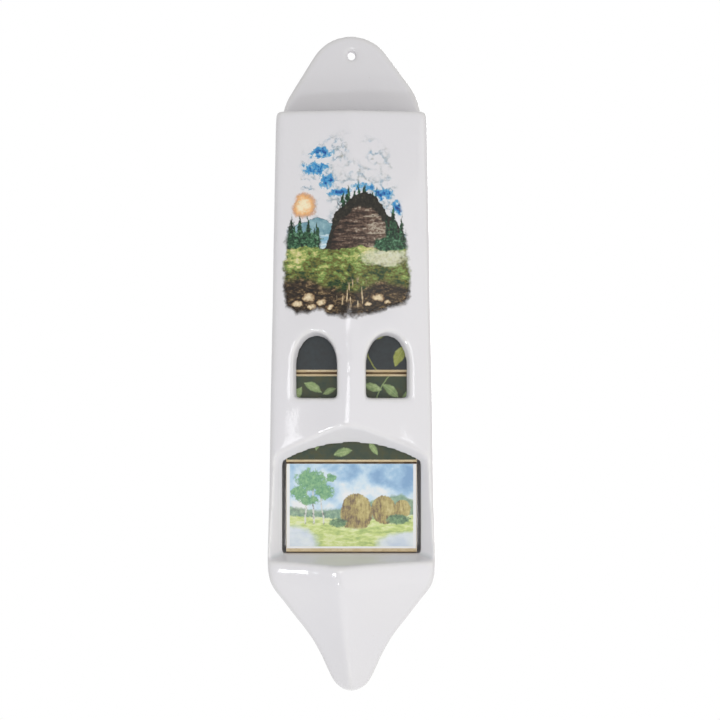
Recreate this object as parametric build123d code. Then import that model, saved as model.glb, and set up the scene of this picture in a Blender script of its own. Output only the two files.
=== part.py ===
from build123d import *
import math
import os

# A glazed ceramic matchbox holder for a wall. Matchboxes are dropped in at the top, stand on
# each other in the chute with their labels to the front, and leave through the mouth.
# Units are millimetres. The origin is the hanging hole's centre on the wall plane.
# +X is to the right seen from the front, +Y goes into the wall and +Z is up.

# Matchbox, standing on one striking side with its label to the front
BOX_LENGTH = 53.0
BOX_HEIGHT = 36.1
BOX_THICKNESS = 15.3
CARD = 0.5
FOLD_RADIUS = 0.8
BOX_NAMES = ("bottom_box", "middle_box", "top_box")
STACK_GAP = 0.1

# Striking strip on each long narrow side of a sleeve
STRIKER_THICKNESS = 0.12
STRIKER_MARGIN = 1.3

# Printed paper label on the front of a sleeve
LABEL_THICKNESS = 0.15
LABEL_END_MARGIN = 0.4
LABEL_EDGE_MARGIN = 1.15
LABEL_RAISES = {"bottom_box": 0.5, "middle_box": 0.0, "top_box": 0.0}

# Card tray inside the sleeve, open towards the label, with doubled end walls
TRAY_PLAY = 0.25
TRAY_END_GAP = 0.2
TRAY_END_WALL = 1.0
TRAY_FOLD_RADIUS = 0.4

# Matches in the tray, settled on its lower side with their heads to the right
STICK_WIDTH = 2.0
HEAD_COAT = 0.25
HEAD_CAP = 1.6
HEAD_SLEEVE = 2.4
MATCH_GAP = 0.06
MATCH_END_PLAY = 6.0
MATCH_FILL_SHARE = 0.55

# Chute: a flat back plate and walls that widen downwards
PLATE = 4.0
WALL = 2.9
BACK_GAP = 0.3
FRONT_PLAY = 1.0
SIDE_PLAY = 1.1
TAPER = 2.7
RIM_ABOVE_FLOOR = 178.5
CHUTE_CORNER = 1.2
RIM_BEVEL = 0.9
RIM_EASING = 0.7

# Outer form, in level sections from the rim to the floor: two facets meet in a front crest,
# which draws out into a nose above the mouth and drifts a little to the left on its way down
EDGE_ROUND = 2.8
CREST_ROUND = 4.0
CREST_AT_RIM = 2.8
CREST_AT_MOUTH = 4.8
CREST_DRIFT = 4.6
NOSE_HOLLOW = 1.1
SEAM_SECTION = 3
LEVEL_SHARES = (0, 0.16, 0.31, 0.45, 0.57, 0.67, 0.755, 0.83, 0.89, 0.94, 0.98)
WIDTH_SHARES = (0, 0.24, 0.41, 0.56, 0.73, 0.86, 0.93, 0.95, 0.955, 0.965, 0.985)
SWELL_SHARES = (0, 0, 0, 0, 0, 0.01, 0.06, 0.2, 0.42, 0.68, 0.9)
HOLLOW_SHARES = (0, 0, 0, 0.1, 0.35, 0.75, 1.0, 1.0, 0.8, 0.6, 0.4)
DRIFT_SHARES = (0.1, 0.1, 0.12, 0.16, 0.24, 0.34, 0.46, 0.62, 0.78, 0.9, 0.98)

# Back plate above the rim, with the hanging hole: a gable that leans a little to the left,
# with a round crown and rounded shoulders
HOLE_ABOVE_RIM = 27.7
HOLE_RADIUS = 1.8
HOLE_EASING = 0.9
GABLE_ABOVE_HOLE = 22.5
GABLE_LEAN = 1.7
CROWN_ROUND = 18.3
LEFT_SHOULDER_ABOVE_RIM = 5.7
RIGHT_SHOULDER_ABOVE_RIM = 8.8
SHOULDER_ROUND = 24.0
PLATE_BEVEL = 1.1
PLATE_INSET = 1.2

# Mouth, where the lowest box stands open to the fingers
MOUTH_SIDE_PLAY = 1.0
MOUTH_HEAD_ROOM = 0.5
ARCH_RISE = 7.4
MOUTH_TOP_DRAFT = 45.0
MOUTH_SIDE_DRAFT = 44.0
MOUTH_FLOOR_DRAFT = 17.0

# Two arched windows
WINDOW_WIDTH = 15.7
WINDOW_HEIGHT = 24.6
WINDOW_OFFSET = 13.9
WINDOW_SILL_ABOVE_FLOOR = 63.0
WINDOW_SPRING_SHARE = 0.55
WINDOW_OUTER_DRAFT = 26.0
WINDOW_TOP_DRAFT = 19.0
WINDOW_INNER_DRAFT = 3.0

# Pointed foot under the mouth, in level sections from the shelf to the tip
SHELF_FLARE = 0.5
SHELF_SIDE_SWELL = 4.4
SHELF_CREST = 6.2
FOOT_DROP = 59.4
DROP_SHARES = (0.05, 0.13, 0.21, 0.31, 0.42, 0.53, 0.64, 0.755, 0.87, 0.94, 0.985, 1.0)
FOOT_WIDTH_SHARES = (1.0, 0.99, 0.95, 0.83, 0.695, 0.555, 0.44, 0.345, 0.262, 0.195, 0.115, 0.045)
FOOT_SIDE_SHARES = (1.0, 0.99, 0.955, 0.87, 0.77, 0.66, 0.55, 0.45, 0.35, 0.27, 0.19, 0.12)
FOOT_CREST_SHARES = (1.0, 0.995, 0.97, 0.91, 0.83, 0.73, 0.63, 0.52, 0.41, 0.32, 0.225, 0.14)
FOOT_DRIFT_SHARES = (1.0, 0.97, 0.92, 0.82, 0.7, 0.56, 0.42, 0.28, 0.15, 0.05, 0.0, 0.0)
FOOT_HOLLOW = 0.4

# Hollow of the foot, with a vent in its back for the kiln
FOOT_WALL = 3.4
CAVITY_SECTIONS = slice(1, 8, 2)
VENT_RADIUS = 1.5
VENT_BELOW_CAVITY_TOP = 8.0

# How far a cut runs past what it cuts
OVERRUN = 1.0

# Places worked out from the sizes above
RIM = -HOLE_ABOVE_RIM
FLOOR = RIM - RIM_ABOVE_FLOOR
BOX_BACK = -PLATE - BACK_GAP
BOX_FRONT = BOX_BACK - BOX_THICKNESS
CHUTE_FRONT = BOX_FRONT - FRONT_PLAY
PITCH = BOX_HEIGHT + 2 * STRIKER_THICKNESS + STACK_GAP
RIM_HALF_INSIDE = BOX_LENGTH / 2 + SIDE_PLAY
RIM_HALF_OUTSIDE = RIM_HALF_INSIDE + WALL
SIDE_DEPTH = WALL - CHUTE_FRONT
MOUTH_HALF = BOX_LENGTH / 2 + MOUTH_SIDE_PLAY
MOUTH_SPRING = FLOOR + PITCH + MOUTH_HEAD_ROOM
MOUTH_TOP = MOUTH_SPRING + ARCH_RISE
TRAY_LENGTH = BOX_LENGTH - 2 * TRAY_END_GAP
TRAY_THICKNESS = BOX_THICKNESS - 2 * CARD - 2 * TRAY_PLAY
TRAY_HEIGHT = BOX_HEIGHT - 2 * CARD - 2 * TRAY_PLAY
STICK_LENGTH = TRAY_LENGTH - 2 * TRAY_END_WALL - HEAD_CAP - MATCH_END_PLAY
HEAD_WIDTH = STICK_WIDTH + 2 * HEAD_COAT
MATCH_PITCH = HEAD_WIDTH + MATCH_GAP
MATCH_COLUMNS = int((TRAY_THICKNESS - CARD - MATCH_GAP) / MATCH_PITCH)
MATCH_ROWS = int(MATCH_FILL_SHARE * (TRAY_HEIGHT - 2 * CARD - MATCH_GAP) / MATCH_PITCH)
ARCH_RADIUS = (MOUTH_HALF**2 + ARCH_RISE**2) / (2 * ARCH_RISE)
SHELF_HALF = RIM_HALF_OUTSIDE + TAPER + SHELF_FLARE
SHELF_SIDE_DEPTH = SIDE_DEPTH + SHELF_SIDE_SWELL
SHELF_CREST_DEPTH = SHELF_SIDE_DEPTH + SHELF_CREST


def slope(angle):
    """Sideways growth of a drafted wall for each unit of depth."""
    return math.tan(math.radians(angle))


def blend(low, high, share):
    return low + (high - low) * share


def facet(line, hollow):
    """Front facet between its two rounded edges, bent inwards by its hollow at the middle."""
    middle = line @ 0.5 + Vector(0, hollow)
    return Spline(line @ 0, middle, line @ 1, tangents=(line % 0, line % 1))


def level_section(z, half_width, side_depth, crest_depth, hollow, drift, back=0):
    """Level cut through the outer form: flat back, straight sides and a front with a crest."""
    round_share = min(1.0, half_width / RIM_HALF_OUTSIDE)
    corners = (
        (-half_width, -back),
        (-half_width, -side_depth),
        (drift, -crest_depth),
        (half_width, -side_depth),
        (half_width, -back),
    )
    rounds = (EDGE_ROUND * round_share, CREST_ROUND * round_share, EDGE_ROUND * round_share)
    path = FilletPolyline(*corners, radius=rounds)
    left_side, left, right, right_side = path.edges().filter_by(GeomType.LINE).sort_by(Axis.X)
    arcs = path.edges().filter_by(GeomType.CIRCLE)
    outline = [left_side, facet(left, hollow), facet(right, hollow), right_side, *arcs]
    return Pos(0, 0, z) * make_face([*outline, Line(corners[-1], corners[0])])


def chute_sections():
    """Sections of the chute's outer form, the sides swelling towards the shelf."""
    mouth_share = (RIM - MOUTH_TOP) / RIM_ABOVE_FLOOR
    shares = zip(LEVEL_SHARES, WIDTH_SHARES, SWELL_SHARES, HOLLOW_SHARES, DRIFT_SHARES)
    for level, width, swell, hollow, drift in shares:
        side_depth = SIDE_DEPTH + SHELF_SIDE_SWELL * swell
        crest = blend(CREST_AT_RIM, CREST_AT_MOUTH, level / mouth_share)
        yield level_section(
            RIM - RIM_ABOVE_FLOOR * level,
            RIM_HALF_OUTSIDE + TAPER * width + SHELF_FLARE * swell,
            side_depth,
            side_depth + crest,
            NOSE_HOLLOW * hollow,
            -CREST_DRIFT * drift,
        )


def foot_sections(wall=0, chosen=slice(None)):
    """Sections of the shelf and foot; with a wall, the chosen ones of the hollow inside them."""
    shares = zip(DROP_SHARES, FOOT_WIDTH_SHARES, FOOT_SIDE_SHARES, FOOT_CREST_SHARES, FOOT_DRIFT_SHARES)
    for drop, width, side, crest, drift in list(shares)[chosen]:
        yield level_section(
            FLOOR - FOOT_DROP * drop,
            SHELF_HALF * width - wall,
            SHELF_SIDE_DEPTH * side - wall,
            SHELF_CREST_DEPTH * crest - wall,
            FOOT_HOLLOW * width,
            -CREST_DRIFT * drift,
            wall,
        )


def outer_form():
    """Chute, shelf and foot as two smooth forms that share the section at the seam."""
    chute = list(chute_sections())
    upper = loft(chute[: SEAM_SECTION + 1])
    rim = upper.faces().sort_by(Axis.Z)[-1]
    upper = chamfer(rim.edges().sort_by(Axis.Y)[:-1], RIM_BEVEL)
    lower = loft(chute[SEAM_SECTION:] + list(foot_sections()))
    return upper + lower


def back_plate():
    """Flat gabled plate that stands up behind the chute, with the soft-edged hanging hole."""
    half = RIM_HALF_OUTSIDE - PLATE_INSET
    left_root, right_root = (-half, RIM - PLATE), (half, RIM - PLATE)
    gable = FilletPolyline(
        left_root,
        (-half, RIM + LEFT_SHOULDER_ABOVE_RIM),
        (-GABLE_LEAN, GABLE_ABOVE_HOLE),
        (half, RIM + RIGHT_SHOULDER_ABOVE_RIM),
        right_root,
        radius=(SHOULDER_ROUND, CROWN_ROUND, SHOULDER_ROUND),
    )
    plate = extrude(Plane.XZ * make_face([*gable.edges(), Line(right_root, left_root)]), PLATE)
    plate = plate - Rot(90, 0, 0) * Cylinder(HOLE_RADIUS, 2 * PLATE + OVERRUN)
    front = plate.faces().sort_by(Axis.Y)[0]
    plate = chamfer(front.edges().filter_by(GeomType.CIRCLE).sort_by(SortBy.RADIUS)[0], HOLE_EASING)
    front = plate.faces().sort_by(Axis.Y)[0]
    return chamfer(front.outer_wire().edges().sort_by(Axis.Z)[1:], PLATE_BEVEL)


def hollow_section(z, growth=0):
    """Level cut through the chute's hollow, square to the boxes and grown all round."""
    share = (RIM - z) / RIM_ABOVE_FLOOR
    width = 2 * (RIM_HALF_INSIDE + TAPER * share + growth)
    rectangle = Rectangle(width, -PLATE - CHUTE_FRONT + growth)
    rounded = fillet(rectangle.vertices(), CHUTE_CORNER)
    return Pos(0, (-PLATE + CHUTE_FRONT - growth) / 2, z) * rounded


def chute_hollow():
    """Space for the boxes, a little wider at the floor, with its rim eased at the top."""
    shaft = loft([hollow_section(RIM + OVERRUN), hollow_section(FLOOR)], ruled=True)
    easing = loft([hollow_section(RIM, RIM_EASING), hollow_section(RIM - RIM_EASING)], ruled=True)
    return shaft + easing


def foot_hollow():
    """Cavity left in the foot when the slip is poured off, with its vent to the back."""
    sections = list(foot_sections(FOOT_WALL, CAVITY_SECTIONS))
    vent_z = sections[0].center().Z - VENT_BELOW_CAVITY_TOP
    vent = Pos(0, 0, vent_z) * Rot(90, 0, 0) * Cylinder(VENT_RADIUS, 2 * FOOT_WALL + OVERRUN)
    return loft(sections) + vent


def mouth_outline(depth):
    """Mouth's outline at a depth in front of the chute's inner face, grown by its drafts."""
    half = MOUTH_HALF + depth * slope(MOUTH_SIDE_DRAFT)
    bottom = FLOOR - depth * slope(MOUTH_FLOOR_DRAFT)
    radius = ARCH_RADIUS + depth * slope(MOUTH_TOP_DRAFT)
    centre = MOUTH_TOP - ARCH_RADIUS
    spring = centre + math.sqrt(radius**2 - half**2)
    arch = ThreePointArc((-half, spring), (0, centre + radius), (half, spring))
    rest = Polyline((half, spring), (half, bottom), (-half, bottom), (-half, spring))
    return Plane.XZ.offset(depth - CHUTE_FRONT) * make_face([arch, rest])


def mouth_cut():
    """Funnel that opens the lowest box to the front, with the shelf as its sloping floor."""
    reach = SHELF_CREST_DEPTH + CHUTE_FRONT + OVERRUN
    straight = extrude(mouth_outline(0), -OVERRUN)
    return loft([mouth_outline(0), mouth_outline(reach)], ruled=True) + straight


def window_outline(side, depth):
    """Window's outline at a depth in front of the chute's inner face: an elliptic arch."""
    inner = side * (WINDOW_OFFSET - WINDOW_WIDTH / 2 - depth * slope(WINDOW_INNER_DRAFT))
    outer = side * (WINDOW_OFFSET + WINDOW_WIDTH / 2 + depth * slope(WINDOW_OUTER_DRAFT))
    sill = FLOOR + WINDOW_SILL_ABOVE_FLOOR - depth * slope(WINDOW_INNER_DRAFT)
    spring = FLOOR + WINDOW_SILL_ABOVE_FLOOR + WINDOW_HEIGHT * WINDOW_SPRING_SHARE
    rise = WINDOW_HEIGHT * (1 - WINDOW_SPRING_SHARE) + depth * slope(WINDOW_TOP_DRAFT)
    half = abs(outer - inner) / 2
    middle = (inner + outer) / 2
    arch = Pos(middle, spring) * EllipticalCenterArc((0, 0), half, rise, start_angle=0, arc_size=180)
    left, right = middle - half, middle + half
    rest = Polyline((left, spring), (left, sill), (right, sill), (right, spring))
    return Plane.XZ.offset(depth - CHUTE_FRONT) * make_face([arch, rest])


def window_cut(side):
    reach = SIDE_DEPTH + CREST_AT_MOUTH + CHUTE_FRONT + OVERRUN
    straight = extrude(window_outline(side, 0), -OVERRUN)
    return loft([window_outline(side, 0), window_outline(side, reach)], ruled=True) + straight


def holder_body():
    """Whole glazed piece."""
    body = outer_form() + back_plate() - chute_hollow() - mouth_cut() - foot_hollow()
    for side in (-1, 1):
        body = body - window_cut(side)
    return body


def box_centre(index):
    """Middle of a matchbox, counted up from the floor."""
    lowest = FLOOR + STACK_GAP + STRIKER_THICKNESS + BOX_HEIGHT / 2
    return Pos(0, (BOX_BACK + BOX_FRONT) / 2, lowest + PITCH * index)


def card_tube(length, thickness, height, fold_radius):
    """Solid bar with a folded card's rounded long edges."""
    return extrude(Plane.YZ * RectangleRounded(thickness, height, fold_radius), length / 2, both=True)


def sleeve():
    inner_radius = FOLD_RADIUS - CARD
    outside = card_tube(BOX_LENGTH, BOX_THICKNESS, BOX_HEIGHT, FOLD_RADIUS)
    inside = card_tube(BOX_LENGTH + OVERRUN, BOX_THICKNESS - 2 * CARD, BOX_HEIGHT - 2 * CARD, inner_radius)
    return outside - inside


def front_label(raised):
    """Paper label on the sleeve's front."""
    width = BOX_LENGTH - 2 * LABEL_END_MARGIN
    label = Box(width, LABEL_THICKNESS, BOX_HEIGHT - 2 * LABEL_EDGE_MARGIN)
    return Pos(0, -(BOX_THICKNESS + LABEL_THICKNESS) / 2, raised) * label


def striker(side):
    """Striking strip on the sleeve's upper or lower narrow side."""
    strip = Box(BOX_LENGTH, BOX_THICKNESS - 2 * STRIKER_MARGIN, STRIKER_THICKNESS)
    return Pos(0, 0, side * (BOX_HEIGHT + STRIKER_THICKNESS) / 2) * strip


def tray():
    """Card tray, open to the front, its end walls doubled."""
    body = card_tube(TRAY_LENGTH, TRAY_THICKNESS, TRAY_HEIGHT, TRAY_FOLD_RADIUS)
    room = Box(TRAY_LENGTH - 2 * TRAY_END_WALL, TRAY_THICKNESS, TRAY_HEIGHT - 2 * CARD)
    return body - Pos(0, -CARD, 0) * room


def match_places():
    """Middles of the sticks, piled on the tray's lower wall from its back."""
    back = TRAY_THICKNESS / 2 - CARD - MATCH_GAP - HEAD_WIDTH / 2
    bottom = -TRAY_HEIGHT / 2 + CARD + MATCH_GAP + HEAD_WIDTH / 2
    for row in range(MATCH_ROWS):
        for column in range(MATCH_COLUMNS):
            yield Pos(-HEAD_CAP / 2, back - MATCH_PITCH * column, bottom + MATCH_PITCH * row)


def match_sticks():
    stick = Box(STICK_LENGTH, STICK_WIDTH, STICK_WIDTH)
    return Compound([place * stick for place in match_places()])


def match_heads():
    """Dipped heads, each a cap around its stick's right-hand end."""
    middle = STICK_LENGTH / 2 + (HEAD_CAP - HEAD_SLEEVE) / 2
    dip = Pos(middle, 0, 0) * Box(HEAD_SLEEVE + HEAD_CAP, HEAD_WIDTH, HEAD_WIDTH)
    head = dip - Box(STICK_LENGTH, STICK_WIDTH, STICK_WIDTH)
    return Compound([place * head for place in match_places()])


def matchbox_nodes(name, index):
    """All pieces of one matchbox, in place."""
    place = box_centre(index)
    pieces = {
        "sleeve": sleeve(),
        "front_label": front_label(LABEL_RAISES[name]),
        "upper_striker": striker(1),
        "lower_striker": striker(-1),
        "tray": tray(),
        "match_sticks": match_sticks(),
        "match_heads": match_heads(),
    }
    return {f"{name}_{piece}": place * shape for piece, shape in pieces.items()}


def all_nodes():
    nodes = {"holder_body": holder_body()}
    for index, name in enumerate(BOX_NAMES):
        nodes.update(matchbox_nodes(name, index))
    return nodes


if __name__ == "__main__":
    os.makedirs("parts", exist_ok=True)
    for node, shape in all_nodes().items():
        export_step(shape, f"parts/{node}.step")
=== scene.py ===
import math

import bmesh
import bpy
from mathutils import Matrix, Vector


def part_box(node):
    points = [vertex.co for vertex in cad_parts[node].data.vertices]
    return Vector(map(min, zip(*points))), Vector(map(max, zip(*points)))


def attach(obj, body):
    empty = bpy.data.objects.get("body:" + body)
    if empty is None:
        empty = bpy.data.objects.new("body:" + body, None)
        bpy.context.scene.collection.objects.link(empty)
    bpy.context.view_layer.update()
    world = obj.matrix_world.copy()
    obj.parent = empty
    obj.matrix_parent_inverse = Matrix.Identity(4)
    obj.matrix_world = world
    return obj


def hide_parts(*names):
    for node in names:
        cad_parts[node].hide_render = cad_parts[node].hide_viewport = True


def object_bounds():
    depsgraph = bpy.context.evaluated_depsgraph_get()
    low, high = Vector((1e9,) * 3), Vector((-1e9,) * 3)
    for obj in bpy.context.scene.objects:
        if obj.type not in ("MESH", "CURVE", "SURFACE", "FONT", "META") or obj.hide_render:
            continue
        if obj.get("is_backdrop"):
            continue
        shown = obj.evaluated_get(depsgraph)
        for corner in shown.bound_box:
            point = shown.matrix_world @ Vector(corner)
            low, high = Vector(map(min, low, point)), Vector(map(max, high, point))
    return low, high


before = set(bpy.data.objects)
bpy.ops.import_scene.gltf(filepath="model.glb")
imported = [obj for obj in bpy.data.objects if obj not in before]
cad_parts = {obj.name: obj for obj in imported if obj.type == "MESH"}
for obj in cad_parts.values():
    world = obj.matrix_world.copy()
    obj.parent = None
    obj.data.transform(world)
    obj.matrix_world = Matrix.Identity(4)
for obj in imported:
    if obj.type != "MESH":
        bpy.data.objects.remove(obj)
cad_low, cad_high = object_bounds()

MM = 0.001


# The holder: one slip-cast piece of white earthenware, fired twice, under a clear glossy glaze.
# The glaze rounds every edge, thins over the crests and pools a little in the creases.

GLAZE_GRID = 0.9 * MM
GLAZE_GRID_DEPTH = 9
GLAZE_SOFTENING = 8
GLAZE_WHITE = (0.765, 0.75, 0.775, 1)
GLAZE_POOLED = (0.66, 0.68, 0.71, 1)
GLAZE_THIN = (0.80, 0.785, 0.755, 1)
GLAZE_ROUGHNESS = 0.09
GLAZE_IOR = 1.5
GLAZE_WAVE = 17 * MM
GLAZE_PEEL = 1.6 * MM
GLAZE_WAVE_DEPTH = 0.35 * MM
CURVE_SPAN_SHARE = 0.12
SPECK_SPACING = 11 * MM
SPECK_BROWN = (0.30, 0.22, 0.16, 1)


class Wire:
    """A socket in a material's nodes; arithmetic on it adds Math nodes."""

    def __init__(self, tree, socket=None):
        self.tree = tree
        self.socket = socket

    def node(self, kind, inputs=None, output=0, **settings):
        """New node with its settings made first, then its inputs' values or links, as a wire."""
        made = self.tree.nodes.new(kind)
        stops = settings.pop("stops", None)
        for name, value in settings.items():
            setattr(made, name, value)
        if stops:
            ramp = made.color_ramp.elements
            while len(ramp) < len(stops):
                ramp.new(1)
            for element, (place, colour) in zip(ramp, stops):
                element.position = place
                element.color = colour
        for name, value in (inputs or {}).items():
            socket = made.inputs[name]
            if isinstance(value, Wire):
                self.tree.links.new(value.socket, socket)
            else:
                socket.default_value = value
        return Wire(self.tree, made.outputs[output])

    def math(self, operation, *values):
        return self.node("ShaderNodeMath", dict(enumerate(values)), operation=operation)

    def __add__(self, other):
        return self.math("ADD", self, other)

    def __sub__(self, other):
        return self.math("SUBTRACT", self, other)

    def __mul__(self, other):
        return self.math("MULTIPLY", self, other)

    def __truediv__(self, other):
        return self.math("DIVIDE", self, other)

    def __rsub__(self, other):
        return self.math("SUBTRACT", other, self)

    def __abs__(self):
        return self.math("ABSOLUTE", self)

    __radd__ = __add__
    __rmul__ = __mul__


def material(name):
    """New material with a bare Principled shader: (material, wire to start from, shader)."""
    made = bpy.data.materials.new(name)
    made.use_nodes = True
    return made, Wire(made.node_tree), made.node_tree.nodes["Principled BSDF"]


def object_place(wire):
    return wire.node("ShaderNodeTexCoord", output="Object")


def noise(place, feature, detail=2.0, roughness=0.5, offset=(0, 0, 0)):
    """Noise from 0 to 1 whose bumps are about a feature wide."""
    moved = place.node("ShaderNodeVectorMath", {0: place, 1: offset}, operation="ADD")
    inputs = {"Vector": moved, "Scale": 1 / feature, "Detail": detail, "Roughness": roughness}
    return place.node("ShaderNodeTexNoise", inputs)


def between(value, low, high):
    """0 below low, 1 above high and a smooth step from one to the other."""
    inputs = {"Value": value, 1: low, 2: high}
    return value.node("ShaderNodeMapRange", inputs, interpolation_type="SMOOTHSTEP")


def mixed(share, first, second):
    """First colour where share is 0, second where it is 1."""
    inputs = {"Factor": share, 6: first, 7: second}
    return share.node("ShaderNodeMix", inputs, output=2, data_type="RGBA")


def bumped(height, depth):
    """Normal of a surface raised by a height of 0 to 1 times a depth in metres."""
    return height.node("ShaderNodeBump", {"Height": height, "Distance": depth, "Strength": 1.0})


def joined(shader, wires):
    """Links wires to the shader's sockets of the same names."""
    for name, wire in wires.items():
        wire.tree.links.new(wire.socket, shader.inputs[name])


def new_piece(name, shape, finish, body, smooth=True):
    """Piece with its bmesh as its shape, riding on a body."""
    mesh = bpy.data.meshes.new(name)
    shape.to_mesh(mesh)
    shape.free()
    mesh.materials.append(finish)
    mesh.polygons.foreach_set("use_smooth", [smooth] * len(mesh.polygons))
    made = bpy.data.objects.new(name, mesh)
    bpy.context.scene.collection.objects.link(made)
    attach(made, body)
    return made


def on_even_grid(shape, grid):
    """The closed shape rebuilt from squares of an even size, with its edges kept sharp."""
    mesh = bpy.data.meshes.new("grid")
    shape.to_mesh(mesh)
    shape.free()
    work = bpy.data.objects.new("grid", mesh)
    bpy.context.scene.collection.objects.link(work)
    squares = work.modifiers.new("grid", "REMESH")
    squares.mode = "SHARP"
    squares.octree_depth = GLAZE_GRID_DEPTH
    squares.scale = max(work.dimensions) / (2 ** GLAZE_GRID_DEPTH * grid)
    squares.use_remove_disconnected = False
    rebuilt = bmesh.new()
    rebuilt.from_object(work, bpy.context.evaluated_depsgraph_get())
    bpy.data.objects.remove(work)
    bpy.data.meshes.remove(mesh)
    return rebuilt


def glaze_ripple(place):
    """Slow waves and fine orange peel that a poured glaze keeps."""
    return 0.93 * noise(place, GLAZE_WAVE, 1.0) + 0.07 * noise(place, GLAZE_PEEL, 1.0)


glaze, wire, shader = material("glaze")
place = object_place(wire)
curve = wire.node("ShaderNodeAttribute", output="Fac", attribute_name="curve")
cloud = noise(place, 38 * MM, 2.0)
crease = between(curve, 0.12, 0.6)
crest = between(0 - curve, 0.15, 0.7)
cells = {"Vector": place, "Scale": 1 / SPECK_SPACING, "Randomness": 1.0}
speck = 1 - between(wire.node("ShaderNodeTexVoronoi", cells, output="Distance"), 0.008, 0.02)
tint = mixed(crease * 0.7, GLAZE_WHITE, GLAZE_POOLED)
tint = mixed(crest * 0.45, tint, GLAZE_THIN)
tint = mixed(between(cloud, 0.35, 0.7) * 0.14, tint, GLAZE_THIN)
tint = mixed(speck * 0.35, tint, SPECK_BROWN)
joined(shader, {
    "Base Color": tint,
    "Roughness": GLAZE_ROUGHNESS + 0.06 * (noise(place, 9 * MM, 2.0) - 0.5),
    "Normal": bumped(glaze_ripple(place), GLAZE_WAVE_DEPTH),
})
shader.inputs["IOR"].default_value = GLAZE_IOR

clay = bmesh.new()
clay.from_mesh(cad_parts["holder_body"].data)
bmesh.ops.remove_doubles(clay, verts=clay.verts, dist=0.001 * MM)
clay = on_even_grid(clay, GLAZE_GRID)
all_axes = {"use_axis_x": True, "use_axis_y": True, "use_axis_z": True}
for _ in range(GLAZE_SOFTENING):
    bmesh.ops.smooth_vert(clay, verts=clay.verts, factor=0.5, **all_axes)

# How hollow the surface is at each point, for the glaze that pools there
clay.normal_update()
curve_layer = clay.verts.layers.float.new("curve")
for vert in clay.verts:
    around = [edge.other_vert(vert).co for edge in vert.link_edges]
    middle = sum(around, Vector()) / len(around)
    vert[curve_layer] = (middle - vert.co).dot(vert.normal) / (CURVE_SPAN_SHARE * GLAZE_GRID)

skin = clay.copy()
holder = new_piece("holder_glazed", clay, glaze, "holder")
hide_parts("holder_body")


# The picture on the front: a transfer of ceramic colours, fired onto the glaze and as glossy as it.
# It is a plain lakeside landscape with a wooded bluff, and it fades out at a ragged edge.

PICTURE_MIDDLE = (-2.0 * MM, -74.4 * MM)
PICTURE_HALF_WIDTH = 28.0
PICTURE_HALF_HEIGHT = 39.0
FRONT_DEPTH = 22.5 * MM
FRONT_FACING = -0.7
FILM_LIFT = 0.05 * MM
FILM_THICKNESS = 0.03 * MM
FILM_IOR = 1.38
BRUSH_WANDER = 1.5

# Shapes in the picture, in millimetres across and up from its middle: oval patches by their
# middles and half sizes, and lines by points on them
SKY = (((0.0, 15.0), (26.0, 24.0)),)
CLOUDS = (
    ((-10.5, 29.4), (5.4, 2.6)),
    ((-13.0, 23.0), (6.2, 2.8)),
    ((-8.0, 17.6), (3.6, 3.6)),
    ((-2.6, 13.4), (5.0, 2.0)),
    ((6.5, 15.6), (6.0, 1.7)),
    ((15.0, 12.6), (4.6, 2.6)),
    ((21.0, 7.4), (3.0, 3.0)),
)
SUN = (((-17.4, 8.4), (5.2, 5.2)),)
BUSHES = (((-17.5, -6.0), (8.0, 4.0)), ((17.0, -7.6), (6.5, 3.6)))
SAND = (((16.0, -12.6), (12.0, 4.2)),)
STONES = (
    ((-15.4, -28.6), (3.2, 1.9)),
    ((-10.2, -30.6), (2.4, 1.5)),
    ((-19.6, -31.2), (2.4, 1.3)),
    ((-13.9, -32.4), (2.2, 1.2)),
    ((-6.6, -32.6), (1.7, 1.0)),
    ((12.4, -28.8), (3.0, 1.6)),
    ((16.6, -30.4), (1.9, 1.1)),
    ((8.6, -31.4), (1.6, 0.9)),
)
FAR_HILLS = ((-28, -3), (-20, 0.5), (-12, 3.4), (-6, 1.2), (2, -2.0), (28, -6))
BLUFF = (
    (-9, -9.5),
    (-6.4, -2),
    (-4.6, 5.5),
    (-1, 8.4),
    (3, 12.2),
    (8, 13.4),
    (12.5, 10.8),
    (16.5, 4.6),
    (21, 0.5),
    (25, -8),
)
SHORE = ((-28, -9.5), (-16, -8.2), (-6, -10.0), (6, -8.4), (16, -10.4), (28, -8.6))
BANK = ((-28, -23), (-18, -20.5), (-8, -24.5), (4, -26.5), (14, -22.0), (28, -24.5))
HEM = ((-28, -31), (-20, -35.6), (-12, -34), (-2, -37.0), (9, -36.2), (17, -33.6), (28, -30))

WISP_TONES = ((0.38, (0.28, 0.56, 0.76, 1)), (0.5, (0.44, 0.56, 0.62, 1)), (0.62, (0.56, 0.56, 0.48, 1)))
CLOUD_TONES = (
    (0.10, (0.50, 0.78, 0.93, 1)),
    (0.30, (0.16, 0.52, 0.82, 1)),
    (0.55, (0.045, 0.29, 0.62, 1)),
    (0.80, (0.012, 0.07, 0.30, 1)),
)
SUN_TONES = ((0.1, (0.86, 0.55, 0.36, 1)), (0.4, (0.93, 0.50, 0.20, 1)), (0.75, (0.97, 0.86, 0.60, 1)))
FAR_HILL_TONES = ((0.3, (0.10, 0.24, 0.31, 1)), (0.7, (0.34, 0.52, 0.56, 1)))
LAKE_TONES = ((0.35, (0.24, 0.46, 0.60, 1)), (0.6, (0.68, 0.79, 0.82, 1)))
SPRUCE_TONES = (
    (0.38, (0.004, 0.011, 0.008, 1)),
    (0.50, (0.014, 0.045, 0.022, 1)),
    (0.60, (0.05, 0.15, 0.07, 1)),
    (0.70, (0.24, 0.44, 0.28, 1)),
)
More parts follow.
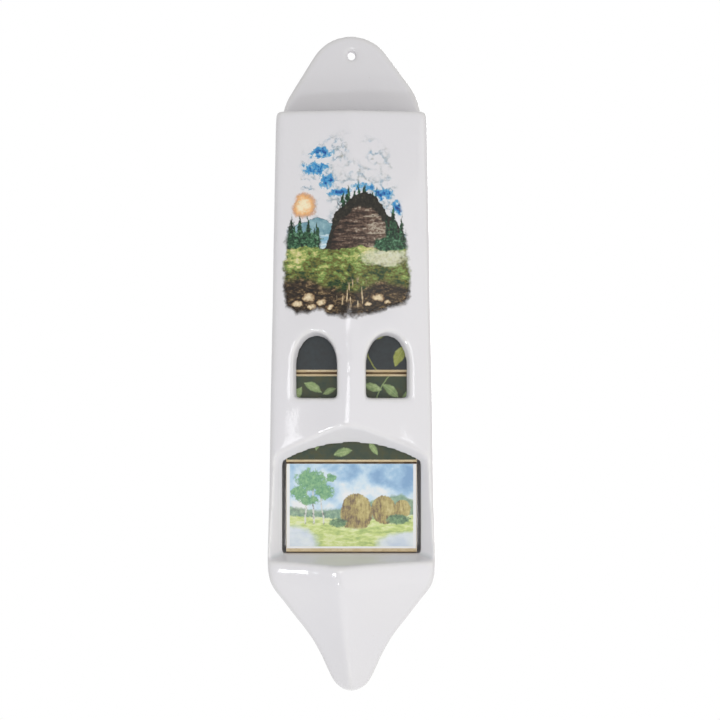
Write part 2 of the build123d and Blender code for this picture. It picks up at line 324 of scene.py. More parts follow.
ROCK_TONES = (
    (0.34, (0.012, 0.010, 0.009, 1)),
    (0.46, (0.06, 0.036, 0.026, 1)),
    (0.54, (0.17, 0.11, 0.08, 1)),
    (0.61, (0.52, 0.45, 0.35, 1)),
    (0.66, (0.07, 0.045, 0.035, 1)),
)
MOSS_TONES = (
    (0.35, (0.008, 0.008, 0.006, 1)),
    (0.58, (0.03, 0.026, 0.018, 1)),
    (0.75, (0.11, 0.105, 0.06, 1)),
)
MEADOW_TONES = (
    (0.28, (0.010, 0.018, 0.008, 1)),
    (0.38, (0.03, 0.07, 0.02, 1)),
    (0.45, (0.16, 0.14, 0.03, 1)),
    (0.51, (0.17, 0.29, 0.07, 1)),
    (0.58, (0.48, 0.50, 0.15, 1)),
    (0.65, (0.76, 0.66, 0.34, 1)),
    (0.74, (0.34, 0.58, 0.38, 1)),
)
SAND_TONES = ((0.3, (0.46, 0.44, 0.24, 1)), (0.5, (0.72, 0.70, 0.52, 1)), (0.7, (0.80, 0.80, 0.72, 1)))
BANK_TONES = (
    (0.34, (0.006, 0.005, 0.004, 1)),
    (0.47, (0.022, 0.014, 0.008, 1)),
    (0.55, (0.08, 0.05, 0.025, 1)),
    (0.61, (0.32, 0.22, 0.11, 1)),
    (0.66, (0.03, 0.018, 0.01, 1)),
)
STONE_TONES = (
    (0.1, (0.014, 0.009, 0.006, 1)),
    (0.3, (0.20, 0.12, 0.06, 1)),
    (0.5, (0.58, 0.44, 0.26, 1)),
    (0.75, (0.84, 0.72, 0.50, 1)),
)


def stretched(place, across, up):
    """Place squeezed, so that a pattern on it is drawn out across and up."""
    squeeze = (1 / across, 1, 1 / up)
    return place.node("ShaderNodeVectorMath", {0: place, 1: squeeze}, operation="MULTIPLY")


def tones(value, stops):
    """Colour between the stops for a value of 0 to 1."""
    return value.node("ShaderNodeValToRGB", {"Fac": value}, stops=stops)


def flat_place(place, middle, wander):
    """Millimetres across and up from a picture's middle, unsteady by as much as the brush wanders."""
    found = []
    for axis, centre, shift in zip("XZ", middle, (0.0, 0.7)):
        value = place.node("ShaderNodeSeparateXYZ", {0: place}, output=axis)
        waver = noise(place, 3.2 * MM, 3.0, 0.65, (shift, 0, 0)) - 0.5
        found.append((value - centre) / MM + wander * 2 * waver)
    return found


def any_of(values):
    """Largest of some values, for patches that flow together."""
    values = list(values)
    largest = values[0]
    for value in values[1:]:
        largest = largest.math("MAXIMUM", largest, value)
    return largest


def patches(across, up, places):
    """1 in the middle of each oval patch, 0 at its edge and less beyond."""
    depths = []
    for middle, size in places:
        side = (across - middle[0]) / size[0]
        rise = (up - middle[1]) / size[1]
        depths.append(1 - side * side - rise * rise)
    return any_of(depths)


def ridge(across, half_width, points):
    """Height of a line through points, given across and up in millimetres."""
    low = min(height for _, height in points)
    rise = max(height for _, height in points) - low
    stops = []
    for place, height in points:
        grey = (height - low) / rise
        stops.append(((place / half_width + 1) / 2, (grey, grey, grey, 1)))
    return low + rise * tones((across / half_width + 1) * 0.5, stops)


def spruce_row(across, up, foot, spacing, height, shift):
    """Depth inside a row of spruces, each of its own height with saw-toothed sides."""
    cell = (across + shift) / spacing
    index = cell.math("FLOOR", cell)
    chance = cell.node("ShaderNodeTexWhiteNoise", {"W": index}, output="Value", noise_dimensions="1D")
    side = abs(cell - index - 0.5 + 0.34 * (chance - 0.5)) * spacing
    below_tip = foot + height * (0.45 + 0.55 * chance) - up
    tooth = below_tip.math("FRACT", below_tip / 1.5 + chance)
    return below_tip * 0.2 * (0.5 + 0.6 * tooth) + 0.12 - side


transfer, wire, shader = material("picture_transfer")
place = object_place(wire)
across, up = flat_place(place, PICTURE_MIDDLE, BRUSH_WANDER)
grain = noise(place, 2.6 * MM, 5.0, 0.72)
fleck = noise(place, 1.5 * MM, 3.0, 0.7, (0.3, 0, 0))
dab = 0.5 * fleck + 0.5 * noise(place, 0.9 * MM, 2.0, 0.6, (0, 0, 0.6))
strokes = noise(stretched(place, 1.6, 1.0), 2.2 * MM, 5.0, 0.72, (0, 0, 0.4))
fine_strokes = noise(stretched(place, 1.8, 1.0), 0.95 * MM, 3.0, 0.7, (0.1, 0, 0.8))
streaks = noise(stretched(place, 6.0, 1.0), 1.15 * MM, 3.0, 0.6, (0.2, 0, 0.1))
curl = 1 - 3 * abs(noise(place, 5.0 * MM, 2.0, 0.5, (0.9, 0, 0)) - 0.5)

drift = noise(place, 9 * MM, 2.0, 0.5, (0.1, 0, 0))
wisps = between(curl, 0.72, 1.0) * between(fleck, 0.30, 0.62)
wisps = wisps * between(patches(across, up, SKY), 0.0, 0.5) * between(drift, 0.42, 0.60)
clouds = 0.85 * patches(across, up, CLOUDS) + 3.6 * (grain - 0.5) + 1.0 * (dab - 0.5)
clouds = clouds + 0.35 * (between(curl, 0.84, 1.0) - 0.5)
sun = patches(across, up, SUN)
far_hills, bluff, shore, bank, hem = (
    ridge(across, PICTURE_HALF_WIDTH, points) for points in (FAR_HILLS, BLUFF, SHORE, BANK, HEM)
)
side_edge = 25.6 - 0.05 * abs(up + 24) - 0.14 * any_of([up + 6, 0.0]) - abs(across)

left_wood = any_of([spruce_row(across, up, -8, 3.4, 15, 0.0), spruce_row(across, up, -8, 2.6, 9, 1.2)])
left_wood = between(left_wood, -0.12, 0.12) * between(0 - across, 10.0, 11.0)
right_wood = any_of([spruce_row(across, up, -9, 3.1, 17, 0.9), spruce_row(across, up, -9, 2.4, 10, 0.3)])
right_wood = between(right_wood, -0.12, 0.12) * between(across, 15.0, 16.0)
crown_wood = between(spruce_row(across, up, 9.5, 2.3, 7.5, 0.5), -0.12, 0.12)
crown_wood = crown_wood * between(across, -3.5, -2.5) * between(0 - across, -12.5, -11.5)
bushes = patches(across, up, BUSHES) + 1.3 * (grain - 0.5) + 0.6 * (fleck - 0.5)

rock_light = streaks * 0.6 + dab * 0.4 + 0.006 * (across - 6)
cap = between(up - bluff + 5.6 + 3.5 * (grain - 0.5), -0.5, 0.7)
rock = mixed(cap, tones(rock_light, ROCK_TONES), tones(dab, MOSS_TONES))
meadow_light = 0.62 * strokes + 0.38 * fine_strokes + 0.30 * (drift - 0.5) + 0.008 * (up + 14)
sand = patches(across, up, SAND) + 2.2 * (strokes - 0.5)
stones = patches(across, up, STONES)
stone_light = 0.10 + 0.62 * stones + 1.1 * (dab - 0.5)
reeds = between(noise(stretched(place, 1.0, 7.0), 1.0 * MM, 2.0, 0.6, (0.5, 0, 0)), 0.57, 0.63)
reeds = reeds * between(across, -5, -2) * between(0 - across, -9, -6)
reeds = reeds * between(0 - abs(up + 27.0), -7.0, -4.0)
bank_light = 0.5 * strokes + 0.5 * fine_strokes

ground = between(shore - up + 1.6 * (fleck - 0.5), -0.4, 0.4)
edge = between(side_edge + 5.0 * (noise(place, 4.2 * MM, 4.0, 0.65, (0, 0, 0.9)) - 0.5), -0.6, 2.4)
hem_edge = between(up - hem + 4.2 * (noise(place, 4.6 * MM, 3.0, 0.6, (0, 0, 0.2)) - 0.5), -0.8, 3.0)
layers = (
    (wisps * 0.38, tones(grain, WISP_TONES)),
    (between(clouds, -0.1, 0.8) * 0.96, tones(0.75 * clouds + 0.6 * (dab - 0.5), CLOUD_TONES)),
    (
        between(sun + 1.0 * (grain - 0.5), -0.3, 0.7) * 0.95,
        tones(sun * 0.8 + 1.2 * (dab - 0.5), SUN_TONES),
    ),
    (between(far_hills - up, -0.3, 0.5) * between(up, -12.0, -9.5), tones(grain, FAR_HILL_TONES)),
    (between(-3.4 - up + 0.5 * (streaks - 0.5), -0.2, 0.2) * (1 - ground), tones(streaks, LAKE_TONES)),
    (crown_wood, tones(dab, SPRUCE_TONES)),
    (between(bluff - up + 1.2 * (fleck - 0.5), -0.2, 0.3), rock),
    (left_wood, tones(dab, SPRUCE_TONES)),
    (right_wood, tones(dab, SPRUCE_TONES)),
    (between(bushes, 0.0, 0.3), tones(dab + 0.05, SPRUCE_TONES)),
    (ground, tones(meadow_light, MEADOW_TONES)),
    (between(sand, 0.0, 0.8) * ground * 0.85, tones(dab, SAND_TONES)),
    (between(bank - up + 7.0 * (strokes - 0.5), -1.6, 1.8), tones(bank_light, BANK_TONES)),
    (reeds, tones(dab, STONE_TONES)),
    (between(stones + 0.5 * (fleck - 0.5), -0.35, 0.0), tones(stone_light, STONE_TONES)),
)
(cover, paint), *over = layers
for share, colour in over:
    together = cover + share - cover * share
    paint = mixed(share / any_of([together, 0.001]), paint, colour)
    cover = together
joined(shader, {
    "Base Color": paint,
    "Alpha": cover * edge * hem_edge,
    "Normal": bumped(glaze_ripple(place), GLAZE_WAVE_DEPTH),
})
shader.inputs["Roughness"].default_value = GLAZE_ROUGHNESS + 0.02
shader.inputs["IOR"].default_value = FILM_IOR

away = [
    face
    for face in skin.faces
    if face.calc_center_median().y > -FRONT_DEPTH or face.normal.y > FRONT_FACING
]
bmesh.ops.delete(skin, geom=away, context="FACES")
for axis, middle, half in zip((0, 2), PICTURE_MIDDLE, (PICTURE_HALF_WIDTH, PICTURE_HALF_HEIGHT)):
    for side in (-1, 1):
        point = Vector()
        normal = Vector()
        point[axis] = middle + side * half * MM
        normal[axis] = side
        parts = skin.verts[:] + skin.edges[:] + skin.faces[:]
        bmesh.ops.bisect_plane(skin, geom=parts, plane_co=point, plane_no=normal, clear_outer=True)
for vert in skin.verts:
    vert.co += vert.normal * FILM_LIFT
bmesh.ops.solidify(skin, geom=skin.faces[:], thickness=FILM_THICKNESS)
film = new_piece("picture_transfer", skin, transfer, "holder")


# Matchbox sleeves: one blank of tan, unbleached card, creased and glued into a tube.
# Its top and bottom folds carry painted shade, a dark brown band for the shaded gaps above and below each
# box, and only narrow margins of it show beside the labels.

BOX_NAMES = ("bottom_box", "middle_box", "top_box")
CARD_TAN = (0.59, 0.46, 0.27, 1)
CARD_PALE = (0.69, 0.58, 0.39, 1)
# Dark brown for the card's darker fibres and for the painted shade along the top and bottom folds
CARD_DARK_FIBRE_AND_SHADE = (0.16, 0.085, 0.035, 1)
CARD_FIBRE = 0.5 * MM
CARD_FIBRE_DEPTH = 0.04 * MM
FOLD_SHADE_REACH = 0.55 * MM
CARD_ROUGHNESS = 0.75


def dressed(finish, *nodes):
    """Gives CAD nodes a finish in place of the plain one they came with."""
    for node in nodes:
        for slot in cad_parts[node].material_slots:
            slot.material = finish


def nearness(value, low, high, reach):
    """1 at the ends of a range along an axis, down to 0 a reach inside them."""
    end = value.math("MINIMUM", value - low, high - value)
    return 1 - between(end, 0.0, reach)


for box in BOX_NAMES:
    sleeve_low, sleeve_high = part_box(f"{box}_sleeve")
    sleeve_card, wire, shader = material(f"{box}_card")
    place = object_place(wire)
    height = place.node("ShaderNodeSeparateXYZ", {0: place}, output="Z")
    fibre = noise(stretched(place, 3.0, 1.0), CARD_FIBRE, 3.0, 0.6)
    pulp = noise(place, 5 * MM, 3.0, 0.6)
    tint = mixed(between(pulp, 0.35, 0.7), CARD_TAN, CARD_PALE)
    tint = mixed(between(fibre, 0.55, 0.75) * 0.4, tint, CARD_DARK_FIBRE_AND_SHADE)
    # Painted shade: dark brown within a reach of the sleeve's top and bottom folds, for the shaded gaps
    # above and below each box
    fold_shade = nearness(height, sleeve_low.z, sleeve_high.z, FOLD_SHADE_REACH)
    tint = mixed(fold_shade * (0.45 + 0.5 * between(pulp, 0.4, 0.6)), tint, CARD_DARK_FIBRE_AND_SHADE)
    joined(shader, {
        "Base Color": tint,
        "Roughness": CARD_ROUGHNESS + 0.2 * (fibre - 0.5),
        "Normal": bumped(fibre, CARD_FIBRE_DEPTH),
    })
    dressed(sleeve_card, f"{box}_sleeve")


# The lowest box's label: coated paper glued to the front, printed as a watercolour with a white
# margin. It is a plain farm landscape of birches, haystacks and a meadow.

PAPER_WHITE = (0.80, 0.80, 0.80, 1)
PAPER_TINTED = (0.62, 0.68, 0.74, 1)
PAPER_TOOTH_DEPTH = 0.012 * MM
LABEL_ROUGHNESS = 0.42
LABEL_MARGIN = 1.1
LABEL_FOOT_MARGIN = 0.8
LABEL_INSET = 0.2 * MM
MARGIN_BLUR = 0.12
MARGIN_WANDER = 0.08
WASH_WANDER = 0.8

# Shapes in the watercolour, as in the transfer's picture
BLUE_SKY = (((17.0, 13.0), (13.0, 7.0)), ((-3.0, 14.0), (9.0, 5.0)))
FOLIAGE = (
    ((-16.5, 10.5), (7.5, 5.6)),
    ((-21.2, 5.5), (4.0, 3.8)),
    ((-11.0, 6.0), (4.6, 3.8)),
    ((-17.0, 2.6), (5.0, 2.4)),
    ((-8.2, 11.8), (2.6, 1.8)),
)
HAYSTACKS = (((2.0, -2.6), (6.6, 8.2)), ((13.0, -1.2), (5.2, 6.0)), ((20.6, -1.0), (3.4, 4.0)))
HAY_LIT = (((4.8, 0.0), (3.6, 7.0)), ((15.2, 0.5), (3.6, 7.0)), ((22.0, 0.0), (3.6, 7.0)))
SHRUBS = (((-5.5, -6.6), (4.2, 2.0)), ((19.0, -5.2), (5.6, 2.2)))
MIST = (((24.0, -15.0), (15.0, 5.5)), ((-24.0, -13.5), (12.0, 6.5)))
WATERCOLOUR_HALF_WIDTH = 26
FAR_HEDGE = ((-26, 0.5), (-14, -1.5), (-4, -0.5), (6, 1.8), (14, 4.4), (20, 5.2), (26, 2.0))
FIELD = ((-26, -3.5), (-10, -4.6), (4, -5.6), (16, -3.8), (26, -3.0))
TRUNKS = ((-18.4, 0.06), (-15.4, -0.03), (-12.0, -0.10))

AIR_TONES = (
    (0.34, (0.74, 0.80, 0.82, 1)),
    (0.50, (0.54, 0.69, 0.80, 1)),
    (0.63, (0.28, 0.48, 0.68, 1)),
    (0.76, (0.14, 0.31, 0.54, 1)),
)
LEAF_TONES = (
    (0.28, (0.035, 0.13, 0.065, 1)),
    (0.45, (0.10, 0.29, 0.13, 1)),
    (0.6, (0.25, 0.46, 0.20, 1)),
    (0.75, (0.55, 0.70, 0.36, 1)),
)
HAY_TONES = (
    (0.3, (0.075, 0.055, 0.04, 1)),
    (0.42, (0.19, 0.13, 0.065, 1)),
    (0.55, (0.42, 0.34, 0.12, 1)),
    (0.72, (0.60, 0.52, 0.25, 1)),
)
HEDGE_TONES = (
    (0.35, (0.05, 0.10, 0.06, 1)),
    (0.55, (0.16, 0.28, 0.14, 1)),
    (0.75, (0.36, 0.48, 0.26, 1)),
)
GRASS_TONES = (
    (0.3, (0.30, 0.42, 0.13, 1)),
    (0.48, (0.55, 0.64, 0.22, 1)),
    (0.62, (0.70, 0.74, 0.40, 1)),
    (0.78, (0.62, 0.70, 0.62, 1)),
)
MIST_TONES = ((0.35, (0.55, 0.62, 0.80, 1)), (0.65, (0.74, 0.78, 0.86, 1)))
BIRCH_TONES = ((0.40, (0.16, 0.14, 0.12, 1)), (0.50, (0.66, 0.66, 0.62, 1)))

low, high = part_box("bottom_box_front_label")
label_middle = ((low.x + high.x) / 2, (low.z + high.z) / 2)
half_width = (high.x - low.x) / 2 / MM
half_height = (high.z - low.z) / 2 / MM
farm_label, wire, shader = material("label_farm")
place = object_place(wire)
across, up = flat_place(place, label_middle, WASH_WANDER)
plain_across, plain_up = flat_place(place, label_middle, MARGIN_WANDER)
grain = noise(place, 2.0 * MM, 5.0, 0.7, (0.1, 0, 0))
fleck = noise(place, 0.9 * MM, 3.0, 0.7, (0.6, 0, 0))
wash = noise(place, 9 * MM, 4.0, 0.55, (0, 0, 0.35))
hatching = noise(stretched(place, 1.0, 4.0), 0.9 * MM, 3.0, 0.6, (0.2, 0, 0))
strokes = noise(stretched(place, 3.0, 1.0), 1.6 * MM, 4.0, 0.65, (0, 0, 0.8))

blue = patches(across, up, BLUE_SKY)
foliage = patches(across, up, FOLIAGE) + 2.6 * (grain - 0.52)
haystacks = patches(across, up, HAYSTACKS) + 0.35 * (fleck - 0.5)
hay_light = 0.55 * hatching + 0.45 * grain + 0.10 * between(patches(across, up, HAY_LIT), 0.0, 0.8) - 0.02
shrubs = patches(across, up, SHRUBS)
mist = patches(across, up, MIST)
far_hedge, field = (ridge(across, WATERCOLOUR_HALF_WIDTH, points) for points in (FAR_HEDGE, FIELD))
trunks = any_of(
    0.42 - 0.010 * (up + 6) - abs(across - middle - lean * up) for middle, lean in TRUNKS
)
trunks = between(trunks, -0.1, 0.2) * between(up, -7.6, -6.4) * between(0 - up, -9.0, -7.0)
layers = (
    (
        between(wash + 0.12 * between(blue, 0, 0.6), 0.3, 0.5) * 0.9,
        tones(wash + 0.22 * between(blue, 0, 0.8), AIR_TONES),
    ),
    (between(far_hedge - up + 2.2 * (grain - 0.5), -0.4, 0.8) * 0.85, tones(grain + 0.05, HEDGE_TONES)),
    (
        between(field - up + 1.6 * (grain - 0.5), -0.3, 0.5),
        tones(strokes + 0.006 * (up + 10), GRASS_TONES),
    ),
    (trunks * 0.9, tones(grain, BIRCH_TONES)),
    (between(foliage, 0.1, 0.5) * 0.95, tones(grain * 0.55 + fleck * 0.45, LEAF_TONES)),
    (between(haystacks, 0.0, 0.14) * between(up, -9.4, -8.2), tones(hay_light, HAY_TONES)),
    (between(shrubs + 1.6 * (fleck - 0.5), 0.0, 0.5), tones(grain, HEDGE_TONES)),
    (between(mist + 1.4 * (wash - 0.5), 0.0, 0.6) * 0.85, tones(wash, MIST_TONES)),
)
paint = mixed(0.12 * fleck, PAPER_WHITE, PAPER_TINTED)
for share, colour in layers:
    paint = mixed(share, paint, colour)
margin = any_of(
    [abs(plain_across) - half_width + LABEL_MARGIN, 0 - plain_up - half_height + LABEL_FOOT_MARGIN]
)
paint = mixed(between(margin, -MARGIN_BLUR, MARGIN_BLUR), paint, PAPER_WHITE)
joined(shader, {
    "Base Color": paint,
    "Roughness": LABEL_ROUGHNESS + 0.12 * (grain - 0.5),
    "Normal": bumped(fleck, PAPER_TOOTH_DEPTH),
})

paper = bmesh.new()
paper.from_mesh(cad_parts["bottom_box_front_label"].data)
sleeve_low, sleeve_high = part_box("bottom_box_sleeve")
left, right = sleeve_low.x + LABEL_INSET, sleeve_high.x - LABEL_INSET
for vert in paper.verts:
    vert.co.x = left if vert.co.x < label_middle[0] else right
    vert.co.z = low.z if vert.co.z < label_middle[1] else sleeve_high.z - LABEL_INSET
label = new_piece("bottom_box_label", paper, farm_label, "bottom_box", smooth=False)
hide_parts("bottom_box_front_label")


# The two upper boxes' labels: dark printed paper with a few plain leaves and stems on it.
# Each leaf is given across and up in millimetres, with its turn in degrees and its length.

LEAF_WIDTH_SHARE = 0.42
LEAF_VEIN = 0.13
LEAF_CURL = 0.02
LEAF_WANDER = 0.35
LEAF_LABEL_IOR = 1.36


def leaf(across, up, middle, turn, length):
    """Depth inside a pointed leaf, and distance from its vein, in millimetres."""
    side = across - middle[0]
    rise = up - middle[1]
    cosine = math.cos(math.radians(turn))
    sine = math.sin(math.radians(turn))
    along = side * cosine + rise * sine
    beside = rise * cosine - side * sine + LEAF_CURL * along * along
    share = along / (length / 2)
    return (1 - share * share) * (length * LEAF_WIDTH_SHARE / 2) - abs(beside), beside


DARK_LABELS = {
    "middle_box": {
        "ground": (
            (0.3, (0.050, 0.052, 0.016, 1)),
            (0.52, (0.036, 0.050, 0.026, 1)),
            (0.75, (0.020, 0.040, 0.028, 1)),
        ),
        "leaf": (
            (0.3, (0.12, 0.20, 0.075, 1)),
            (0.55, (0.27, 0.36, 0.15, 1)),
            (0.75, (0.50, 0.58, 0.32, 1)),
        ),
        "places": (
            (-22.5, 9.0, 60, 9.0),
            (-15.5, 12.6, -28, 8.4),
            (-9.0, 11.0, 24, 6.0),
            (8.4, 12.4, 160, 8.0),
            (16.0, 11.2, -40, 8.8),
            (21.6, 7.4, 75, 8.0),
            (-18.0, 1.0, 20, 9.5),
            (4.0, 1.5, 120, 9.0),
            (15.0, -2.0, 15, 8.5),
            (-3.5, -13.8, 14, 8.0),
            (9.0, -12.4, -55, 6.5),
            (-14.0, -9.5, 80, 8.0),
        ),
        "stem": (-0.2, 6.0),
    },
    "top_box": {
        "ground": ((0.3, (0.016, 0.019, 0.020, 1)), (0.7, (0.026, 0.034, 0.038, 1))),
        "leaf": (
            (0.3, (0.16, 0.20, 0.035, 1)),
            (0.55, (0.30, 0.32, 0.075, 1)),
            (0.75, (0.44, 0.46, 0.18, 1)),
        ),
        "places": (
            (19.5, -11.0, 62, 10.0),
            (9.6, -3.0, 4, 8.0),
            (16.4, 3.0, 110, 9.0),
            (-6.0, 6.0, 40, 10.0),
            (-17.0, 2.5, 130, 9.0),
            (2.0, 12.0, -20, 9.0),
            (22.0, 10.0, 70, 8.0),
            (-22.0, 12.0, 10, 7.5),
        ),
        "stem": (0.25, 4.0),
    },
}
for box, look in DARK_LABELS.items():
    low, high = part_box(f"{box}_front_label")
    leaf_label, wire, shader = material(f"{box}_label_leaves")
    place = object_place(wire)
    across, up = flat_place(place, ((low.x + high.x) / 2, (low.z + high.z) / 2), LEAF_WANDER)
    grain = noise(place, 3.0 * MM, 4.0, 0.6)
    fleck = noise(place, 0.8 * MM, 3.0, 0.6, (0.4, 0, 0))
    leaves = [leaf(across, up, (x, z), turn, length) for x, z, turn, length in look["places"]]
    inside = any_of(depth for depth, _ in leaves)
    vein = any_of(
        between(depth, 0.0, 0.3) * (1 - between(abs(beside), 0.0, LEAF_VEIN))
        for depth, beside in leaves
    )
    lean, foot = look["stem"]
    stem = 0.16 - abs(across * 0.55 - up * lean - foot - 0.02 * up * up)
    tint = mixed(between(stem, -0.1, 0.1) * 0.7, tones(grain, look["ground"]), look["leaf"][1][1])
    leaf_tint = tones(0.7 * grain + 0.3 * fleck, look["leaf"])
    tint = mixed(between(inside + 1.2 * (grain - 0.5), -0.25, 0.55), tint, leaf_tint)
    tint = mixed(vein * 0.6, tint, look["leaf"][2][1])
    joined(shader, {
        "Base Color": tint,
        "Roughness": LABEL_ROUGHNESS + 0.12 * (grain - 0.5),
        "Normal": bumped(fleck, PAPER_TOOTH_DEPTH),
    })
    shader.inputs["IOR"].default_value = LEAF_LABEL_IOR
    dressed(leaf_label, f"{box}_front_label")


# Striking strips: a brown coat of red phosphorus, glass powder and glue, printed as fine dots
# on the sleeves' two long narrow sides.

STRIKER_BROWN = (0.115, 0.048, 0.024, 1)
STRIKER_WORN = (0.24, 0.13, 0.07, 1)
STRIKER_DOT = 0.45 * MM
STRIKER_DOT_DEPTH = 0.05 * MM
STRIKER_ROUGHNESS = 0.85

striker_coat, wire, shader = material("striking_coat")
place = object_place(wire)
cells = {"Vector": place, "Scale": 1 / STRIKER_DOT, "Randomness": 0.25}
dots = wire.node("ShaderNodeTexVoronoi", cells, output="Distance")
wear = noise(stretched(place, 5.0, 1.0), 2.5 * MM, 4.0, 0.6)
tint = mixed(between(wear, 0.48, 0.68) * 0.8, STRIKER_BROWN, STRIKER_WORN)
tint = mixed(between(dots, 0.35, 0.55) * 0.5, tint, STRIKER_WORN)
joined(shader, {
    "Base Color": tint,
    "Roughness": STRIKER_ROUGHNESS + 0.1 * (wear - 0.5),
    "Normal": bumped(1 - between(dots, 0.2, 0.5), STRIKER_DOT_DEPTH),
})
dressed(striker_coat, *(f"{box}_{side}_striker" for box in BOX_NAMES for side in ("upper", "lower")))


# Trays: thin grey-white board, folded up on four sides with doubled ends. They slide in the
# sleeves and hold the matches.

BOARD_WHITE = (0.66, 0.62, 0.54, 1)
BOARD_GREY = (0.50, 0.46, 0.39, 1)
BOARD_FIBRE = 0.6 * MM
BOARD_FIBRE_DEPTH = 0.05 * MM
BOARD_ROUGHNESS = 0.8

tray_board, wire, shader = material("tray_board")
place = object_place(wire)
fibre = noise(stretched(place, 3.0, 1.0), BOARD_FIBRE, 3.0, 0.6)
pulp = noise(place, 6 * MM, 3.0, 0.6)
tint = mixed(between(pulp, 0.35, 0.7) * 0.5 + 0.3 * between(fibre, 0.5, 0.75), BOARD_WHITE, BOARD_GREY)
joined(shader, {
    "Base Color": tint,
    "Roughness": BOARD_ROUGHNESS + 0.15 * (fibre - 0.5),
    "Normal": bumped(fibre, BOARD_FIBRE_DEPTH),
})
dressed(tray_board, *(f"{box}_tray" for box in BOX_NAMES))


# Matchsticks: square splints cut from aspen veneer, with the grain along them. They lie in the
# trays with their heads to the right.

ASPEN_PALE = (0.78, 0.62, 0.40, 1)
ASPEN_DARK = (0.56, 0.38, 0.20, 1)
ASPEN_GRAIN = 0.55 * MM
ASPEN_GRAIN_DEPTH = 0.06 * MM
ASPEN_ROUGHNESS = 0.7

aspen, wire, shader = material("aspen_splint")
place = object_place(wire)
grain = noise(stretched(place, 14.0, 1.0), ASPEN_GRAIN, 4.0, 0.6)
batch = noise(place, 3.0 * MM, 2.0)
tint = mixed(between(grain, 0.42, 0.68) * 0.7 + 0.3 * between(batch, 0.4, 0.65), ASPEN_PALE, ASPEN_DARK)
joined(shader, {
    "Base Color": tint,
    "Roughness": ASPEN_ROUGHNESS + 0.2 * (grain - 0.5),
    "Normal": bumped(grain, ASPEN_GRAIN_DEPTH),
})
dressed(aspen, *(f"{box}_match_sticks" for box in BOX_NAMES))


# Match heads: the sticks' ends dipped in a dark red compound that dries dull and grainy. It
# covers each stick's end and a little of its sides.

DIP_RED = (0.22, 0.035, 0.022, 1)
DIP_DARK = (0.11, 0.02, 0.015, 1)
DIP_GRIT = 0.35 * MM
DIP_GRIT_DEPTH = 0.12 * MM
DIP_ROUGHNESS = 0.72

dip, wire, shader = material("match_dip")
place = object_place(wire)
grit = noise(place, DIP_GRIT, 3.0, 0.7)
blotch = noise(place, 1.6 * MM, 2.0, 0.6, (0.5, 0, 0))
joined(shader, {
    "Base Color": mixed(between(blotch, 0.35, 0.65), DIP_RED, DIP_DARK),
    "Roughness": DIP_ROUGHNESS + 0.25 * (grit - 0.5),
    "Normal": bumped(grit, DIP_GRIT_DEPTH),
})
dressed(dip, *(f"{box}_match_heads" for box in BOX_NAMES))


# The stage: a plain pale floor well below the object, and a white backdrop around it. The lamps
# are round and soft. All stand in front of the object, but for one behind it.

FLOOR_DROP = 0.55
FLOOR_RADIUS = 1.2
FLOOR_PALE = (0.8, 0.8, 0.8, 1)
FLOOR_ROUGHNESS = 0.9
FLOOR_GLOW = 0.62
ROOM_LIGHT = 0.52
ROOM_WHITE = (1, 1, 1, 1)


def seen_directly(wire):
    """1 for rays from the camera, off gloss and through glass, 0 for those that only light."""
    kinds = ("Camera", "Glossy", "Transmission")
    rays = [wire.node("ShaderNodeLightPath", output=f"Is {kind} Ray") for kind in kinds]
    return wire.math("MINIMUM", rays[0] + rays[1] + rays[2], 1.0)


floor_shape = bmesh.new()
bmesh.ops.create_circle(floor_shape, cap_ends=True, segments=96, radius=FLOOR_RADIUS)
bmesh.ops.translate(floor_shape, verts=floor_shape.verts, vec=(0, 0, cad_low.z - FLOOR_DROP))
floor_mesh = bpy.data.meshes.new("floor")
floor_shape.to_mesh(floor_mesh)
floor_shape.free()
floor = bpy.data.objects.new("floor", floor_mesh)
bpy.context.scene.collection.objects.link(floor)
floor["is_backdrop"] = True

pale, wire, shader = material("pale_floor")
shader.inputs["Base Color"].default_value = FLOOR_PALE
shader.inputs["Roughness"].default_value = FLOOR_ROUGHNESS
shader.inputs["Emission Color"].default_value = ROOM_WHITE
joined(shader, {"Emission Strength": seen_directly(wire) * FLOOR_GLOW})
floor_mesh.materials.append(pale)

world = bpy.data.worlds.new("studio")
bpy.context.scene.world = world
world.use_nodes = True
backdrop = world.node_tree.nodes["Background"]
backdrop.inputs["Color"].default_value = ROOM_WHITE
seen = seen_directly(Wire(world.node_tree))
joined(backdrop, {"Strength": ROOM_LIGHT + (1 - ROOM_LIGHT) * seen})

middle = (cad_low + cad_high) / 2


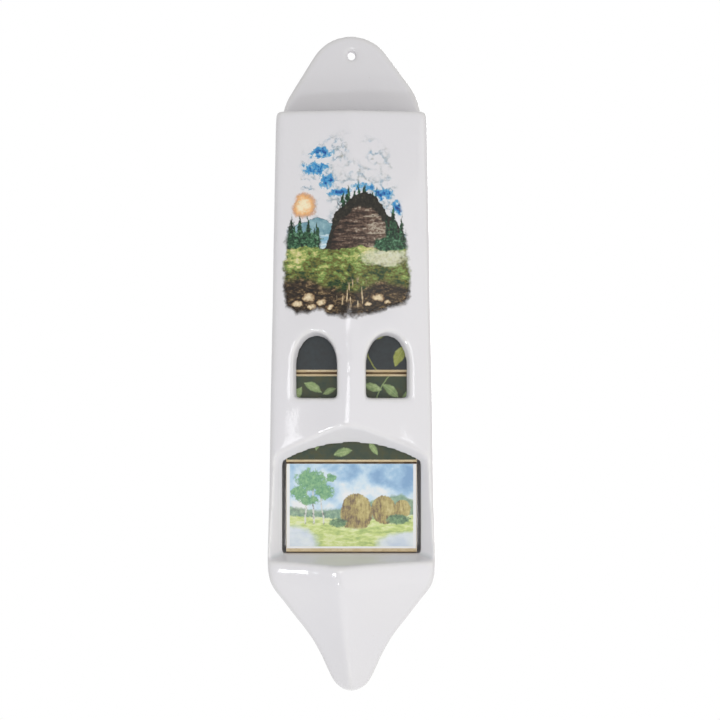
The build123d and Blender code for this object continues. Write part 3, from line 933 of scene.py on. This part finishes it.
def lamp(name, offset, size, power, colour):
    """Round soft lamp at an offset from the object's middle, turned to face it, in metres and watts."""
    light = bpy.data.lights.new(name, "AREA")
    light.shape = "DISK"
    light.size = size
    light.energy = power
    light.color = colour
    made = bpy.data.objects.new(name, light)
    bpy.context.scene.collection.objects.link(made)
    made.location = middle + Vector(offset)
    made.rotation_euler = (-Vector(offset)).to_track_quat("-Z", "Y").to_euler()


lamp("window_right", (0.50, -0.60, -0.16), 1.1, 2.1, (1.0, 0.99, 0.93))
lamp("lamp_front", (-0.02, -0.80, -0.05), 0.26, 0.85, (0.98, 0.98, 1.0))
lamp("lamp_under", (0.0, -0.22, -0.48), 0.3, 0.075, (1.0, 1.0, 0.98))
lamp("lamp_left", (-0.285, -0.62, -0.28), 0.06, 0.6, (0.90, 0.94, 1.0))
lamp("lamp_low_left", (-0.24, -0.68, -0.53), 0.06, 0.2, (0.92, 0.95, 1.0))
lamp("lamp_back", (0.30, 0.80, 0.15), 0.8, 3.6, (1.0, 1.0, 1.0))


# The camera: straight in front, half a metre from the wall and level with the windows' sills.
# Its shifts put the object where it stands in the photograph.

CAMERA_DISTANCE = 0.52
CAMERA_HEIGHT = -0.1442
FOCAL_PIXELS = 1234
PHOTO_SIDE = 720
EYE_ROW = 400
CENTRE_COLUMN = 351.5
SENSOR = 36.0

camera_data = bpy.data.cameras.new("camera")
camera_data.sensor_width = SENSOR
camera_data.lens = FOCAL_PIXELS * SENSOR / PHOTO_SIDE
camera_data.shift_x = (PHOTO_SIDE / 2 - CENTRE_COLUMN) / PHOTO_SIDE
camera_data.shift_y = (EYE_ROW - PHOTO_SIDE / 2) / PHOTO_SIDE
camera_data.clip_start = 0.01
camera = bpy.data.objects.new("camera", camera_data)
bpy.context.scene.collection.objects.link(camera)
camera.location = (0, -CAMERA_DISTANCE, CAMERA_HEIGHT)
camera.rotation_euler = (math.radians(90), 0, 0)
bpy.context.scene.camera = camera
bpy.context.scene.view_settings.view_transform = "Standard"

low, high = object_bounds()
